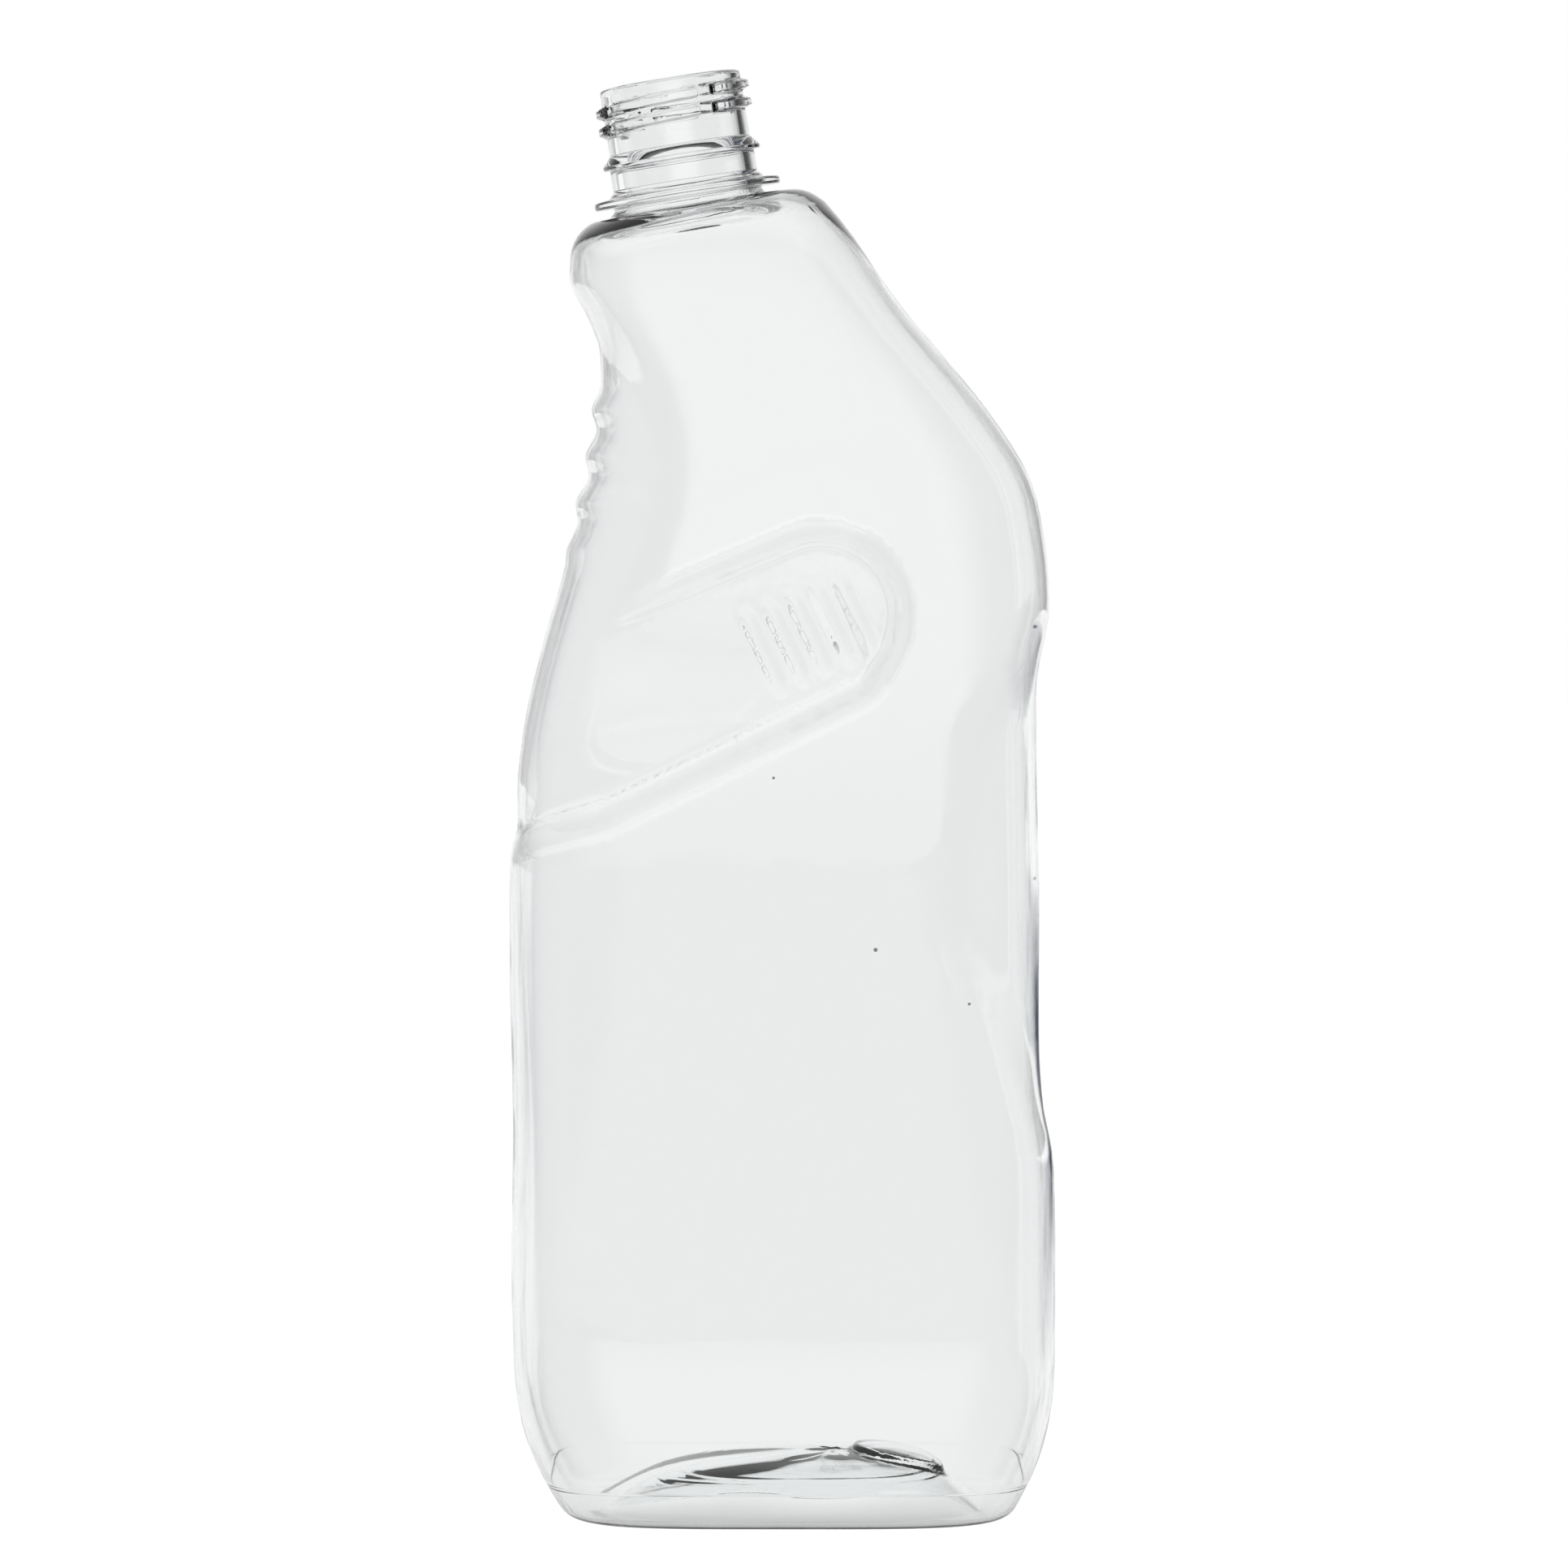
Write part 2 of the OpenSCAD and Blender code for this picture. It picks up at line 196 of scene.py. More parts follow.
def follow(side, z):
    """The values of a side table at heights z."""
    return np.interp(z, side[:, 0], side[:, 1]), np.interp(z, side[:, 0], side[:, 2])


# Outlines of the pressed-in areas are tight bands round discs, measured in this many directions
DIRECTIONS = 240
AT_ONCE = 20000
turns = np.arange(DIRECTIONS) * 2 * math.pi / DIRECTIONS
directions = np.stack([np.cos(turns), np.sin(turns)])


def band(discs):
    """A tight band round some front-view discs (x, z, radius), as its reach in each direction."""
    discs = np.array(discs, float)
    return np.max(discs[:, :2] @ directions + discs[:, 2:], axis=0)


def band_distance(points, reach):
    """Distance of front-view points from a band, below zero inside it."""
    parts = np.array_split(points, len(points) // AT_ONCE + 1)
    return np.concatenate([np.max(part @ directions - reach, axis=1) for part in parts])


# The slot's discs are set out along its slope, from its round end
SLOT_RISE = math.radians(23.0)
SLOT_X = 9.0
SLOT_Z = LABEL_TOP + 41.5
slot_band = band([(-1.5, 2.6, 15), (-0.3, -9.1, 5), (-50, -11.8, 5), (-70, -9.1, 5), (-70, 12.6, 5)])
finger_band = band([(-37.3 - NECK_OFF, LEDGE_Z - 47, 37), (-43.3 - NECK_OFF, LEDGE_Z - 70, 35)])
hollow_band = band([(HW - 5.5, LABEL_TOP - 9.5, 14.5), (HW + 6, LABEL_TOP - 58, 6),
                    (HW - 4, LABEL_TOP + 18.5, 14), (HW + 12, LABEL_TOP + 38, 14)])


def in_slot(points):
    """Front-view points in the slot's own frame."""
    off = points - (SLOT_X, SLOT_Z)
    return np.stack([off[:, 0] * math.cos(SLOT_RISE) + off[:, 1] * math.sin(SLOT_RISE),
                     off[:, 1] * math.cos(SLOT_RISE) - off[:, 0] * math.sin(SLOT_RISE)], axis=1)


def soft_plus(x, rounding):
    """x where it is above zero and 0 below, with the kink rounded."""
    return np.where(np.abs(x) < rounding, (x + rounding) ** 2 / (4 * rounding), np.maximum(x, 0))


def ramp(distance, width, lip, foot):
    """0 outside a band, rising to 1 over the width of the sloping wall inside it."""
    return (soft_plus(-distance, lip) - soft_plus(-distance - width, foot)) / width


# Width of the sloping wall round each pressed-in area, and how far its upper and lower edges round
SLOT_BEVEL = 3.2
SLOT_LIP = 1.4
SLOT_FOOT = 0.7
FINGER_BEVEL = 5.5
FINGER_LIP = 2.4
FINGER_FOOT = 2.2
HOLLOW_BEVEL = 5.6
HOLLOW_LIP = 2.4
HOLLOW_FOOT = 2.2


def pressed_shares(x, z, soft):
    """How far front-view points are pressed in towards the grip, and towards the hollow's floor."""
    points = np.stack([x, z], axis=1)
    slot = ramp(band_distance(in_slot(points), slot_band), SLOT_BEVEL, SLOT_LIP * soft, SLOT_FOOT * soft)
    finger = ramp(band_distance(points, finger_band), FINGER_BEVEL, FINGER_LIP, FINGER_FOOT)
    hollow = ramp(band_distance(points, hollow_band), HOLLOW_BEVEL, HOLLOW_LIP, HOLLOW_FOOT)
    return 1 - (1 - slot) * (1 - finger), hollow


EXACT = 1e-7
SECANT_STEPS = 14


def narrowed(x, z, grip_in, hollow_in, soft):
    """Where front-view points end up in the narrowed body, and the shares there, by secant steps."""
    grip, hollow = pressed_shares(x, z, soft)
    before, miss_before = x.copy(), hollow * hollow_in - grip * grip_in
    here = x - miss_before
    todo = np.flatnonzero(np.abs(miss_before) > EXACT)
    for turn in range(SECANT_STEPS):
        if len(todo) == 0:
            break
        grip[todo], hollow[todo] = pressed_shares(here[todo], z[todo], soft)
        miss = here[todo] - x[todo] - grip[todo] * grip_in[todo] + hollow[todo] * hollow_in[todo]
        rise = miss - miss_before[todo]
        step = np.clip((here[todo] - before[todo]) / np.where(rise == 0, 1, rise), 0.05, 1)
        before[todo], miss_before[todo] = here[todo], miss
        here[todo] -= miss * step
        todo = todo[np.abs(miss) > EXACT]
    return here, grip, hollow


# Ribs across the slot's round end, in the slot's frame: places of the first, of their ends and fades
RIBS = 5
RIB_PITCH = 4.3
RIB_FROM = 4.0
RIB_LEAN = 0.05
RIB_LOW = -9.0
RIB_HIGH = 10.5
RIB_END = 5.5
RIB_H = 0.6


def rib_height(points):
    """Height of the ribs across the slot's round end."""
    u, v = in_slot(points).T
    u = u + RIB_LEAN * v
    number = np.clip(np.round((RIB_FROM - u) / RIB_PITCH), 0, RIBS - 1)
    across = np.clip(np.abs(u - RIB_FROM + number * RIB_PITCH) / (0.5 * RIB_PITCH), 0, 1)
    along = np.clip(np.minimum(v - RIB_LOW, RIB_HIGH - v) / RIB_END, 0, 1)
    return RIB_H * (0.5 + 0.5 * np.cos(math.pi * across)) * along * along * (3 - 2 * along)


# Finger bumps down the grip's left edge, from the top one. The lowest is the smallest.
BUMPS = 4
BUMP_TOP = LEDGE_Z - 37
BUMP_PITCH = 8.1
BUMP_H = 1.3
LAST_BUMP_SIZE = 0.5
BUMP_REACH = 10


def bump_height(z):
    """How far the finger bumps stand out of the grip's left edge."""
    number = np.round((BUMP_TOP - z) / BUMP_PITCH)
    off = (BUMP_TOP - number * BUMP_PITCH - z) / BUMP_PITCH
    size = np.where(number == BUMPS - 1, LAST_BUMP_SIZE, 1.0)
    return np.where((number < 0) | (number >= BUMPS), 0.0, BUMP_H * size * np.cos(math.pi * off) ** 2)


def outer_skin(t, angle, ribs=1.0, soft=1.0):
    """Points of the outer skin at fine rung numbers t and angles round the section."""
    r = curve(fine_rungs, t)
    c, s = np.cos(angle), np.sin(angle)
    reach = (np.abs(c) ** r[:, 5] + np.abs(s) ** r[:, 5]) ** (-1 / r[:, 5])
    c, s = c * reach, s * reach
    x = (r[:, 0] + r[:, 2]) / 2 + (r[:, 2] - r[:, 0]) / 2 * c
    z = (r[:, 1] + r[:, 3]) / 2 + (r[:, 3] - r[:, 1]) / 2 * c
    z = np.maximum(z, 0.0)
    y = r[:, 4] * s
    less_left, less_grip = follow(grip_side, z)
    less_right, less_hollow = follow(hollow_side, z)
    share = (1 - c) / 2
    grip_in = np.maximum(less_left - r[:, 0], 0) * share - bump_height(z) * share ** BUMP_REACH
    hollow_in = np.maximum(r[:, 2] - less_right, 0) * (1 - share)
    new_x, grip, hollow = narrowed(x, z, grip_in, hollow_in, soft)
    less = grip * (less_grip - ribs * rib_height(np.stack([new_x, z], axis=1))) + hollow * less_hollow
    return np.stack([new_x, y * (1 - less / np.maximum(r[:, 4], 1)), z], axis=1)


def normals_of(surface, u, angle, last):
    """Outward unit normals of a surface given by u, up to its last, and the angle round the bottle."""
    du, da = 0.03, 0.001
    forward = np.where(u + du > last, -du, du)
    here = surface(u, angle)
    across = surface(u, angle + da) - here
    up = (surface(u + forward, angle) - here) * np.sign(forward)[:, None]
    n = np.cross(across, up)
    return n / np.maximum(np.linalg.norm(n, axis=1, keepdims=True), 1e-12)


# The thick disc of unstretched material in the push-up, on the neck's axis
GATE_X = LEDGE_Z * math.tan(LEAN) - NECK_OFF
GATE_R = 8.5
GATE_THICK = 1.2
GATE_EDGE = 1.6

# The push-up's wall is uneven in lobes round the gate, and the inside follows small forms less
BASE_END = 0.14 * SKIN_T
BASE_FADE = 0.04 * SKIN_T
BASE_UNEVEN = 0.45
LOBES = 5
LOBE_TURN = 0.6
LOBE_RISE = 8.0
INNER_RIBS = 0.1
INNER_SOFT = 1.3


def inner_form(t, angle):
    """The outer skin as the inside follows it: with lower ribs and softer edges."""
    return outer_skin(t, angle, INNER_RIBS, INNER_SOFT)


def inner_skin(t, angle):
    """Points of the inner skin: moved in by the wall, with the gate's disc and the base's uneven wall."""
    outer = inner_form(t, angle)
    from_gate = np.hypot(outer[:, 0] - GATE_X, outer[:, 1])
    off = np.clip((GATE_R - from_gate) / GATE_EDGE, 0, 1)
    in_base = np.clip((BASE_END - t) / BASE_FADE, 0, 1)
    lobes = np.clip((from_gate - GATE_R) / LOBE_RISE, 0, 1) * (0.5 + 0.5 * np.cos(LOBES * angle + LOBE_TURN))
    extra = in_base * (GATE_THICK * off * off * (3 - 2 * off) + BASE_UNEVEN * lobes)
    wall = WALL * curve(fine_rungs, t)[:, 6] + extra
    return outer - wall[:, None] * normals_of(inner_form, t, angle, SKIN_T)


# Profile of the neck finish, from the outside of the blown body over the rim to the bore:
# radius, height over the ledge's underside, and the radius of each corner
NECK_H = 21.0
THREAD_ROOT_R = 12.47
WALL_R = 12.85
BEAD_R = 14.0
LEDGE_R = 16.5
LEDGE_T = 1.4
CORNER_POINTS = 7
NECK_STEP = 0.7
neck_corners = [
    (JOINT_R, JOINT_H, 0.0), (JOINT_R, 0.0, 0.15), (LEDGE_R, 0.1, 0.5), (LEDGE_R, LEDGE_T, 0.5),
    (13.7, LEDGE_T + 0.45, 0.3), (13.55, LEDGE_T + 0.9, 0.2), (13.2, LEDGE_T + 1.0, 0.2),
    (WALL_R, LEDGE_T + 1.6, 0.5), (WALL_R, 6.7, 0.25), (BEAD_R - 0.1, 6.8, 0.25), (BEAD_R, 7.4, 0.3),
    (THREAD_ROOT_R, 9.2, 0.5), (THREAD_ROOT_R, NECK_H - 0.1, 0.9), (BORE_R, NECK_H, 0.45),
    (BORE_R, JOINT_H, 0.0),
]


def rounded(corners):
    """A line through corners with each one rounded by its own radius."""
    line = [corners[0][:2]]
    for before, here, after in zip(corners, corners[1:], corners[2:]):
        p = np.array(here[:2])
        a = np.array(before[:2]) - p
        b = np.array(after[:2]) - p
        la, lb = np.linalg.norm(a), np.linalg.norm(b)
        a, b = a / la, b / lb
        half = math.acos(np.clip(a @ b, -1, 1)) / 2
        cut = min(here[2] / math.tan(half), 0.48 * la, 0.48 * lb)
        for k in np.linspace(0, 1, CORNER_POINTS):
            line.append(tuple(p + a * cut * (1 - k) ** 2 + b * cut * k ** 2))
    line.append(corners[-1][:2])
    return np.array(line)


def divided(line, step):
    """A line with more points on its long stretches."""
    parts = [np.linspace(a, b, max(1, round(math.dist(a, b) / step)), endpoint=False)
             for a, b in zip(line, line[1:])]
    return np.concatenate(parts + [line[-1:]])


neck_line = divided(rounded(neck_corners), NECK_STEP)

# Thread of the neck finish: one right-hand start with a gap at each vent slot
THREAD_H = 1.24
THREAD_PITCH = 3.18
THREAD_MID_H = 17.5
THREAD_FROM = math.radians(-220)
THREAD_TO = math.radians(430)
THREAD_HALF_W = 1.15
THREAD_FLANK = 0.65
THREAD_FADE = 0.25
THREAD_LOWEST = 9.0
FRONT = math.radians(270)
VENTS = 4
VENT_AT = math.radians(297)
VENT_W = 2.2
VENT_EDGE = 0.5


def thread_height(h, angle):
    """How far the thread stands out of the neck's wall."""
    total = np.zeros(len(h))
    angle = np.mod(angle, 2 * math.pi)
    for whole in range(-2, 2):
        turned = angle + whole * 2 * math.pi
        middle = THREAD_MID_H + THREAD_PITCH * (turned - FRONT) / (2 * math.pi)
        side = np.abs(h - middle)
        ridge = np.clip((THREAD_HALF_W - side) / THREAD_FLANK, 0, 1)
        ridge = ridge * ridge * (3 - 2 * ridge)
        start = np.clip((turned - THREAD_FROM) / THREAD_FADE, 0, 1)
        end = np.clip((THREAD_TO - turned) / THREAD_FADE, 0, 1)
        total = np.maximum(total, ridge * (start * end))
    step = 2 * math.pi / VENTS
    off = np.abs(np.mod(angle - VENT_AT + step / 2, step) - step / 2) * THREAD_ROOT_R
    vent = np.clip((off - VENT_W / 2) / VENT_EDGE, 0, 1)
    return THREAD_H * total * vent * vent * (3 - 2 * vent)


def neck_point(p, angle):
    """Points of the neck finish at places p along its profile's points."""
    i = np.clip(np.floor(p).astype(int), 0, len(neck_line) - 2)
    k = (p - i)[:, None]
    r, h = (neck_line[i] * (1 - k) + neck_line[i + 1] * k).T
    on_thread_wall = (np.abs(r - THREAD_ROOT_R) < 0.02) & (h > THREAD_LOWEST)
    r = r + np.where(on_thread_wall, thread_height(h, angle), 0)
    x, y = r * np.cos(angle), r * np.sin(angle)
    return np.stack([x * AXIS[2] + h * AXIS[0] - NECK_OFF, y, h * AXIS[2] - x * AXIS[0] + LEDGE_Z], axis=1)


# The outer surface: u runs from the middle of the push-up up the body, over the rim and down the bore
NECK_U = float(len(neck_line) - 1)
COLUMNS = 96


def surface(u, angle):
    points = np.zeros((len(u), 3))
    body = u <= SKIN_T
    points[body] = outer_skin(u[body], angle[body])
    points[~body] = neck_point(u[~body] - SKIN_T, angle[~body])
    return points


def first_grid(rows):
    """A grid of triangles over rows of u, with the middle of the push-up as its first point."""
    u = np.concatenate([[0.0], np.repeat(rows, COLUMNS)])
    angle = np.concatenate([[0.0], np.tile(np.arange(COLUMNS) * 2 * math.pi / COLUMNS, len(rows))])
    faces = []
    for j in range(COLUMNS):
        k = (j + 1) % COLUMNS
        faces.append((0, k + 1, j + 1))
        for i in range(len(rows) - 1):
            a, b = 1 + i * COLUMNS + j, 1 + i * COLUMNS + k
            faces.append((a, b, b + COLUMNS))
            faces.append((a, b + COLUMNS, a + COLUMNS))
    return u, angle, np.array(faces)


# An edge is cut in two where it is longer than LONGEST, or where the surface bends away from its
# middle by more than BEND of its length. The base and the gate's edge have smaller limits.
LONGEST = 5.0
SHORTEST = 0.6
BEND = 0.029
BASE_STEP = 2.0
GATE_STEP = 0.8
FINE_BASE_END = 0.16 * SKIN_T
ROUNDS = 8
GRID_ROWS = 7


def refined(u, angle, faces):
    """Cuts edges, and each cut triangle's longest edge too, until none is too long or bent."""
    points = surface(u, angle)
    for turn in range(ROUNDS):
        pairs = np.sort(np.concatenate([faces[:, [0, 1]], faces[:, [1, 2]], faces[:, [2, 0]]]), axis=1)
        edges, which = np.unique(pairs[:, 0] * len(u) + pairs[:, 1], return_inverse=True)
        a, b = edges // len(u), edges % len(u)
        gap = angle[b] - angle[a]
        gap = gap - 2 * math.pi * np.round(gap / (2 * math.pi))
        mid_u = (u[a] + u[b]) / 2
        mid_angle = np.where(a == 0, angle[b], np.mod(angle[a] + gap / 2, 2 * math.pi))
        middle = surface(mid_u, mid_angle)
        edge = points[b] - points[a]
        length = np.linalg.norm(edge, axis=1)
        off = np.linalg.norm(np.cross(middle - points[a], edge), axis=1) / length
        from_gate = np.abs(np.hypot(middle[:, 0] - GATE_X, middle[:, 1]) - GATE_R + GATE_EDGE / 2)
        base_limit = np.where(from_gate < GATE_EDGE, GATE_STEP, BASE_STEP)
        limit = np.where(mid_u < FINE_BASE_END, base_limit, LONGEST)
        on_joint = (u[a] == u[b]) & ((u[a] == SKIN_T) | (u[a] == SKIN_T + NECK_U))
        cut = ~on_joint & ((length > limit) | ((off > BEND * length) & (length > SHORTEST)))
        if not cut.any():
            break
        which = which.reshape(3, -1).T
        longest = np.take_along_axis(which, np.argmax(length[which], axis=1)[:, None], axis=1)[:, 0]
        before = 0
        while cut.sum() > before:
            before = cut.sum()
            cut[longest[cut[which].any(axis=1)]] = True
            cut &= ~on_joint
        new = np.full(len(edges), -1)
        new[cut] = len(u) + np.arange(cut.sum())
        u = np.concatenate([u, mid_u[cut]])
        angle = np.concatenate([angle, mid_angle[cut]])
        points = np.concatenate([points, middle[cut]])
        faces = cut_faces(faces, new[which], points)
    return u, angle, points, faces


def cut_faces(faces, mids, points):
    """Replaces triangles by smaller ones; mids holds the new point of each edge, or -1."""
    count = (mids >= 0).sum(axis=1)
    parts = [faces[count == 0]]
    for turned in range(3):
        f = np.roll(faces, -turned, axis=1)
        m = np.roll(mids, -turned, axis=1)
        one = (count == 1) & (m[:, 0] >= 0)
        (a, b, c), (ab, bc, ca) = f[one].T, m[one].T
        parts += [np.stack([a, ab, c], axis=1), np.stack([ab, b, c], axis=1)]
        two = (count == 2) & (m[:, 2] < 0)
        (a, b, c), (ab, bc, ca) = f[two].T, m[two].T
        parts.append(np.stack([ab, b, bc], axis=1))
        to_bc = np.linalg.norm(points[a] - points[bc], axis=1)
        short = to_bc < np.linalg.norm(points[ab] - points[c], axis=1)
        parts.append(np.stack([a, ab, np.where(short, bc, c)], axis=1))
        parts.append(np.stack([np.where(short, a, ab), bc, c], axis=1))
    (a, b, c), (ab, bc, ca) = faces[count == 3].T, mids[count == 3].T
    parts += [np.stack(corner, axis=1) for corner in ((a, ab, ca), (ab, b, bc), (ca, bc, c), (ab, bc, ca))]
    return np.concatenate(parts)


body_rows = np.linspace(0, SKIN_T, round(SKIN_T / GRID_ROWS) + 1)[1:]
grid = first_grid(np.concatenate([body_rows, SKIN_T + np.arange(1, NECK_U + 1)]))
u, angle, points, faces = refined(*grid)
normals = normals_of(surface, u, angle, SKIN_T + NECK_U)

# The inner skin has the outer one's triangles, turned over, and meets the bore in its last ring
body = np.flatnonzero(u <= SKIN_T)
first_ring = np.flatnonzero(u == SKIN_T)
last_ring = np.flatnonzero(u == SKIN_T + NECK_U)
first_ring = first_ring[np.argsort(angle[first_ring])]
last_ring = last_ring[np.argsort(angle[last_ring])]
inside = np.full(len(u), -1)
inside[first_ring] = last_ring
free = body[inside[body] < 0]
inside[free] = len(u) + np.arange(len(free))
body_faces = faces[(u[faces] <= SKIN_T).all(axis=1)]
faces = np.concatenate([faces, inside[body_faces][:, ::-1]])
points = np.concatenate([points, inner_skin(u[free], angle[free])])
normals = np.concatenate([normals, -normals_of(inner_skin, u[free], angle[free], SKIN_T)])

mesh = bpy.data.meshes.new("bottle_blown")
mesh.from_pydata((points * MM).tolist(), [], faces.tolist())
mesh.shade_smooth()
mesh.validate()
mesh.normals_split_custom_set_from_vertices(normals.tolist())
bottle = bpy.data.objects.new("bottle_blown", mesh)
bpy.context.collection.objects.link(bottle)
print("bottle:", len(mesh.vertices), "points,", len(mesh.polygons), "triangles")


def srgb(code):
    """Linear colour of an sRGB hex value."""
    values = [int(code[i:i + 2], 16) / 255 for i in (1, 3, 5)]
    return [v / 12.92 if v <= 0.04045 else ((v + 0.055) / 1.055) ** 2.4 for v in values] + [1.0]


def add_node(tree, kind, inputs, **settings):
    """Adds a node with its settings, and fills its inputs, by name or number, with outputs or values."""
    node = tree.nodes.new(kind)
    for name, value in settings.items():
        setattr(node, name, value)
    for name, value in inputs.items():
        if isinstance(value, bpy.types.NodeSocket):
            tree.links.new(value, node.inputs[name])
        else:
            node.inputs[name].default_value = value
    return node


# Clear PET, blown: water-white with a slight green-grey cast, glossy from the polished mould,
# with the faint unevenness of a blown wall
pet = bpy.data.materials.new("pet_clear_blown")
pet.use_nodes = True
tree = pet.node_tree
tree.nodes.clear()
place = add_node(tree, "ShaderNodeTexCoord", {}).outputs["Object"]
waves = add_node(tree, "ShaderNodeTexNoise", {"Vector": place, "Scale": 60.0, "Detail": 2.0})
uneven = add_node(tree, "ShaderNodeBump", {"Height": waves.outputs["Fac"], "Strength": 0.05, "Distance": 0.001})

# The mould's parting line round the heel is a hair's breadth of raised plastic, drawn here in relief
# and as wide as it needs to show
PARTING_Z = 6.8
PARTING_W = 0.3
part = add_node(tree, "ShaderNodeSeparateXYZ", {"Vector": place})
from_line = add_node(tree, "ShaderNodeMath", {0: part.outputs["Z"], 1: PARTING_Z * MM}, operation="SUBTRACT")
off_line = add_node(tree, "ShaderNodeMath", {0: from_line.outputs[0]}, operation="ABSOLUTE")
ridge = add_node(tree, "ShaderNodeMapRange", {
    "Value": off_line.outputs[0], "From Min": 0.0, "From Max": PARTING_W * MM, "To Min": 1.0, "To Max": 0.0,
}, interpolation_type="SMOOTHSTEP")
parted = add_node(tree, "ShaderNodeBump", {
    "Height": ridge.outputs[0], "Normal": uneven.outputs["Normal"], "Strength": 0.6, "Distance": 0.0001,
})

# Specks in the front wall: x and z of each, and its radius, in millimetres
SPECKS = [(16.0, 102.3, 0.35), (-1.6, 132.0, 0.25), (32.2, 92.8, 0.25), (43.6, 157.8, 0.3), (44.0, 113.7, 0.3)]
flat = add_node(tree, "ShaderNodeCombineXYZ", {"X": part.outputs["X"], "Z": part.outputs["Z"]})
front = add_node(tree, "ShaderNodeMath", {0: part.outputs["Y"], 1: 0.0}, operation="LESS_THAN")
dirt = 0.0
for x, z, r in SPECKS:
    away = add_node(tree, "ShaderNodeVectorMath", {0: flat.outputs[0], 1: (x * MM, 0, z * MM)},
                    operation="DISTANCE")
    spot = add_node(tree, "ShaderNodeMath", {0: away.outputs["Value"], 1: r * MM}, operation="LESS_THAN")
    dirt = add_node(tree, "ShaderNodeMath", {0: dirt, 1: spot.outputs[0]}, operation="MAXIMUM").outputs[0]
speck = add_node(tree, "ShaderNodeMath", {0: dirt, 1: front.outputs[0]}, operation="MULTIPLY")
tint = add_node(tree, "ShaderNodeMix", {
    "Factor": speck.outputs[0], "A": srgb("#FCFDFD"), "B": srgb("#8A8C90"),
}, data_type="RGBA")
skin = add_node(tree, "ShaderNodeBsdfPrincipled", {
    "Base Color": tint.outputs["Result"], "Roughness": 0.02, "IOR": 1.57, "Transmission Weight": 1.0,
    "Normal": parted.outputs["Normal"],
})
add_node(tree, "ShaderNodeOutputMaterial", {"Surface": skin.outputs["BSDF"]})
mesh.materials.append(pet)

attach(bottle, "root")
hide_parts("bottle")

# The table: a plain white sheet, with the bottle's soft shadow on it. The clear walls see it with painted
# shade:
# white behind the bottle, painted darker in front as a stand-in for a dim room, and painted dark blue-grey well
# off to the right as a stand-in for a dark flag.
FLOOR_FILL = 0.86
FLOOR_HALF = 3.0
floor_mesh = bpy.data.meshes.new("floor")
floor_corners = [(x * FLOOR_HALF, y * FLOOR_HALF, 0) for x, y in ((-1, -1), (1, -1), (1, 1), (-1, 1))]
floor_mesh.from_pydata(floor_corners, [], [(0, 1, 2, 3)])
floor = bpy.data.objects.new("floor", floor_mesh)
bpy.context.collection.objects.link(floor)
sheet = bpy.data.materials.new("sheet_white_matt")
sheet.use_nodes = True
tree = sheet.node_tree
tree.nodes.clear()
place = add_node(tree, "ShaderNodeTexCoord", {}).outputs["Object"]
split = add_node(tree, "ShaderNodeSeparateXYZ", {"Vector": place})
# Painted shade for glossy and transmission rays: the floor in front of the bottle is painted darker.
behind = add_node(tree, "ShaderNodeMapRange", {
    "Value": split.outputs["Y"], "From Min": -0.07, "From Max": 0.03, "To Min": 0.2, "To Max": 1.0,
}, interpolation_type="SMOOTHSTEP")
# Painted shade: a dark blue-grey patch well off to the right, fading out far behind, stands in for a dark flag.
beside = add_node(tree, "ShaderNodeMapRange", {
    "Value": split.outputs["X"], "From Min": 0.14, "From Max": 0.32, "To Min": 0.0, "To Max": 1.0,
}, interpolation_type="SMOOTHSTEP")
near = add_node(tree, "ShaderNodeMapRange", {
    "Value": split.outputs["Y"], "From Min": 0.8, "From Max": 1.5, "To Min": 1.0, "To Max": 0.0,
}, interpolation_type="SMOOTHSTEP")
painted_dark_share = add_node(tree, "ShaderNodeMath", {0: beside.outputs[0], 1: near.outputs[0]}, operation="MULTIPLY")
shade = add_node(tree, "ShaderNodeMix", {
    "Factor": painted_dark_share.outputs[0], "A": srgb("#FFFFFF"), "B": srgb("#3C4256"),
}, data_type="RGBA")
matt = add_node(tree, "ShaderNodeBsdfDiffuse", {"Color": srgb("#FFFFFF")})
fill = add_node(tree, "ShaderNodeEmission", {"Color": srgb("#FFFFFF"), "Strength": FLOOR_FILL})
lit = add_node(tree, "ShaderNodeAddShader", {0: matt.outputs[0], 1: fill.outputs[0]})
# Painted shade, seen only by glossy and transmission rays; camera rays see the lit sheet with its real shadow.
painted_shade_seen = add_node(tree, "ShaderNodeEmission", {"Color": shade.outputs["Result"], "Strength": behind.outputs[0]})
path = add_node(tree, "ShaderNodeLightPath", {})
clear = add_node(tree, "ShaderNodeMath", {
    0: path.outputs["Is Glossy Ray"], 1: path.outputs["Is Transmission Ray"],
}, operation="MAXIMUM")
both = add_node(tree, "ShaderNodeMixShader", {0: clear.outputs[0], 1: lit.outputs[0], 2: painted_shade_seen.outputs[0]})
add_node(tree, "ShaderNodeOutputMaterial", {"Surface": both.outputs[0]})
floor_mesh.materials.append(sheet)

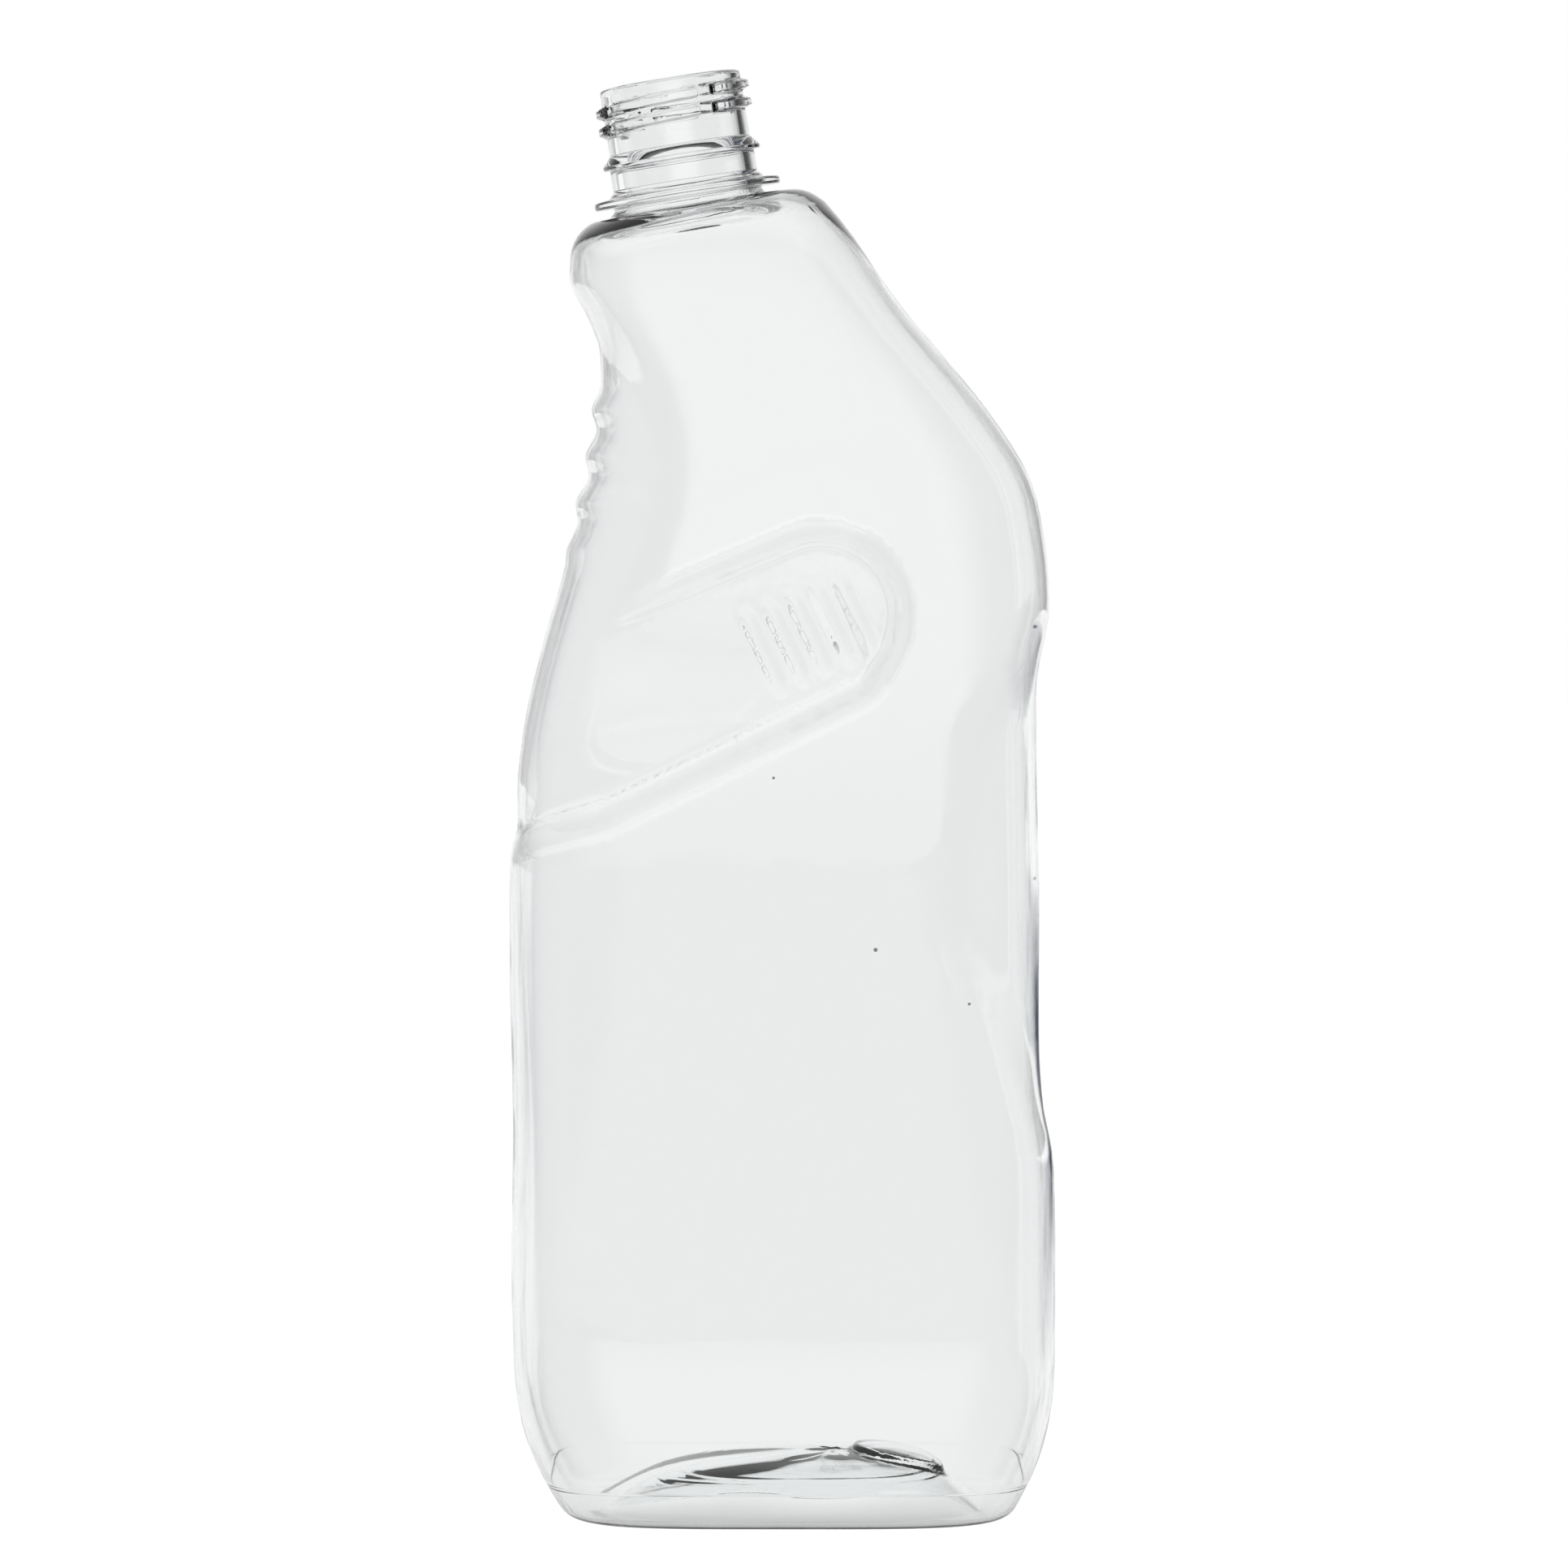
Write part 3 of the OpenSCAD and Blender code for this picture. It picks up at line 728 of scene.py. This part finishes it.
# The room: white behind the bottle, dimmer in front and above, and dark at both sides, which draws
# the bottle's edges. The right side is the darker one.
world = bpy.data.worlds.new("studio")
bpy.context.scene.world = world
world.use_nodes = True
tree = world.node_tree
tree.nodes.clear()
toward = add_node(tree, "ShaderNodeTexCoord", {}).outputs["Generated"]
split = add_node(tree, "ShaderNodeSeparateXYZ", {"Vector": toward})
front_by_height = add_node(tree, "ShaderNodeMapRange", {
    "Value": split.outputs["Z"], "From Min": -0.15, "From Max": 0.12, "To Min": 0.15, "To Max": 0.85,
}, interpolation_type="SMOOTHSTEP")
behind = add_node(tree, "ShaderNodeMapRange", {
    "Value": split.outputs["Y"], "From Min": -0.2, "From Max": 0.3, "To Min": 0.0, "To Max": 1.0,
}, interpolation_type="SMOOTHSTEP")
front_or_back = add_node(tree, "ShaderNodeMix", {
    "Factor": behind.outputs[0], "A": front_by_height.outputs[0], "B": 1.0,
}, data_type="FLOAT")
right = add_node(tree, "ShaderNodeMapRange", {
    "Value": split.outputs["X"], "From Min": 0.22, "From Max": 0.6, "To Min": 1.0, "To Max": 0.06,
}, interpolation_type="SMOOTHSTEP")
left = add_node(tree, "ShaderNodeMapRange", {
    "Value": split.outputs["X"], "From Min": -0.25, "From Max": -0.7, "To Min": 1.0, "To Max": 0.25,
}, interpolation_type="SMOOTHSTEP")
above = add_node(tree, "ShaderNodeMapRange", {
    "Value": split.outputs["Z"], "From Min": 0.35, "From Max": 0.8, "To Min": 1.0, "To Max": 0.5,
}, interpolation_type="SMOOTHSTEP")
flanks = add_node(tree, "ShaderNodeMath", {0: right.outputs[0], 1: left.outputs[0]}, operation="MINIMUM")
sides = add_node(tree, "ShaderNodeMath", {0: flanks.outputs[0], 1: above.outputs[0]}, operation="MINIMUM")
room = add_node(tree, "ShaderNodeMath", {0: front_or_back.outputs[0], 1: sides.outputs[0]},
                operation="MULTIPLY")
path = add_node(tree, "ShaderNodeLightPath", {})
strength = add_node(tree, "ShaderNodeMath", {0: path.outputs["Is Camera Ray"], 1: room.outputs[0]},
                    operation="MAXIMUM")
sky = add_node(tree, "ShaderNodeBackground", {"Color": srgb("#FFFFFF"), "Strength": strength.outputs[0]})
add_node(tree, "ShaderNodeOutputWorld", {"Surface": sky.outputs[0]})

# The camera: in front of the bottle at about three quarters of its height, on a long lens
camera_data = bpy.data.cameras.new("camera")
camera = bpy.data.objects.new("camera", camera_data)
bpy.context.collection.objects.link(camera)
CAMERA_AWAY = 1.2
CAMERA_UP = 0.2
SENSOR = 36.0
SEEN_WIDTH = 0.2776
AIM = np.array([0.0002, 0.0, 0.1291])
stand = np.array([AIM[0], -CAMERA_AWAY, CAMERA_UP])
look = AIM - stand
camera.location = stand.tolist()
camera.rotation_euler = (math.atan2(math.hypot(look[0], look[1]), -look[2]), 0, math.atan2(-look[0], look[1]))
camera_data.sensor_width = SENSOR
camera_data.lens = SENSOR * np.linalg.norm(look) / SEEN_WIDTH
bpy.context.scene.camera = camera
bpy.context.scene.view_settings.view_transform = "Standard"
